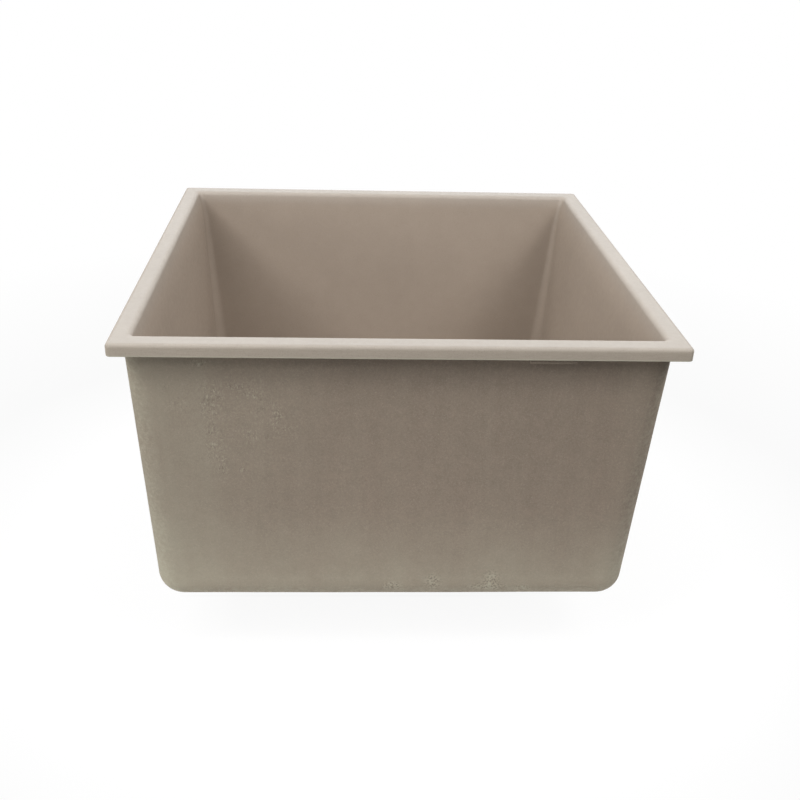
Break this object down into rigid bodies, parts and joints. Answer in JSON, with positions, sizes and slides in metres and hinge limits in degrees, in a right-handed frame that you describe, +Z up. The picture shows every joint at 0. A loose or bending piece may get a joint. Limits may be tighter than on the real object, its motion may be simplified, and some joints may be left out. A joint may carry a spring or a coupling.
{
  "type": "undermount kitchen sink",
  "caption": "Square single-bowl undermount sink cast in granite composite, narrow flat rim, drafted walls, basket strainer with lift-out basket and push-down stopper.",
  "frame": {"origin": "middle of the bowl's mouth, on the plane of the rim's top face, which meets the underside of the worktop", "axes": "+X to the right side of the sink, +Y to its back, +Z up out of the bowl"},
  "size_m": [0.432, 0.432, 0.3035],
  "materials": {
    "composite": "satin inside and on the rim, rough as cast outside",
    "stainless": "brushed",
    "basket_steel": "satin",
    "brass": "machined",
    "nut_metal": "cast zinc",
    "seal_rubber": "matte",
    "slip_card": "matte",
    "knob_plastic": "gloss"
  },
  "bodies": {
    "sink": {"bowl": "composite", "flange_seal": "seal_rubber", "strainer_shell": "stainless", "outlet_spigot": "brass", "guide_cross": "stainless", "rubber_gasket": "seal_rubber", "friction_ring": "slip_card", "lock_nut": "nut_metal"},
    "basket": {"basket": "basket_steel", "basket_hub": "basket_steel", "hub_ring": "basket_steel", "grip_ring": "seal_rubber"},
    "stopper": {"stopper_post": "stainless", "lift_knob": "knob_plastic", "stopper_plate": "stainless", "stopper_seal": "seal_rubber", "stopper_nut": "brass"}
  },
  "joints": [
    {"name": "basket_lift", "type": "slide", "parent": "sink", "child": "basket", "axis": [0, 0, 1], "range_m": [0, 0.3]},
    {"name": "stopper_push", "type": "slide", "parent": "basket", "child": "stopper", "axis": [0, 0, 1], "range_m": [-0.008, 0]}
  ]
}
